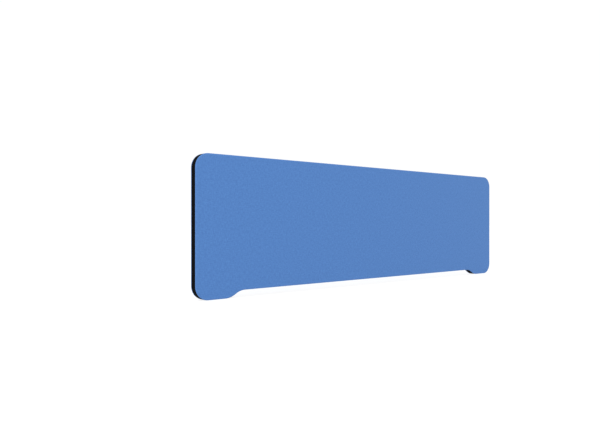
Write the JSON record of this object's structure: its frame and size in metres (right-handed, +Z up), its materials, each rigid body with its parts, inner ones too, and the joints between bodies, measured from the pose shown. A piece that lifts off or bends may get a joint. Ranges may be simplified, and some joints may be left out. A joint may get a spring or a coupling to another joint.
{
  "type": "desk privacy panel",
  "caption": "Fabric-covered desk privacy panel with rounded corners, a black edge band and a low cable gap between two shallow feet.",
  "frame": {"origin": "on the desk top, under the middle of the panel's length and thickness", "axes": "+X to the right along the panel as seen from the front, -Y out of the front face, +Z up"},
  "size_m": [1.4, 0.028, 0.4],
  "materials": {
    "pine": "matte",
    "plywood": "matte",
    "beech": "satin",
    "felt_slab": "matte",
    "wadding": "matte",
    "cover_cloth": "matte",
    "staple_wire": "satin",
    "trim_pvc": "satin",
    "insert_brass": "satin"
  },
  "bodies": {
    "root": {"top_rail": "pine", "bottom_rail": "pine", "left_stile": "pine", "right_stile": "pine", "left_mid_stile": "pine", "right_mid_stile": "pine", "top_left_corner_block": "plywood", "top_right_corner_block": "plywood", "left_foot_block": "plywood", "right_foot_block": "plywood", "frame_dowels": "beech", "acoustic_slab_left": "felt_slab", "acoustic_slab_centre": "felt_slab", "acoustic_slab_right": "felt_slab", "front_wadding": "wadding", "rear_wadding": "wadding", "front_cover": "cover_cloth", "rear_cover": "cover_cloth", "front_staples": "staple_wire", "rear_staples": "staple_wire", "edge_trim": "trim_pvc", "left_foot_inserts": "insert_brass", "right_foot_inserts": "insert_brass"}
  },
  "joints": []
}
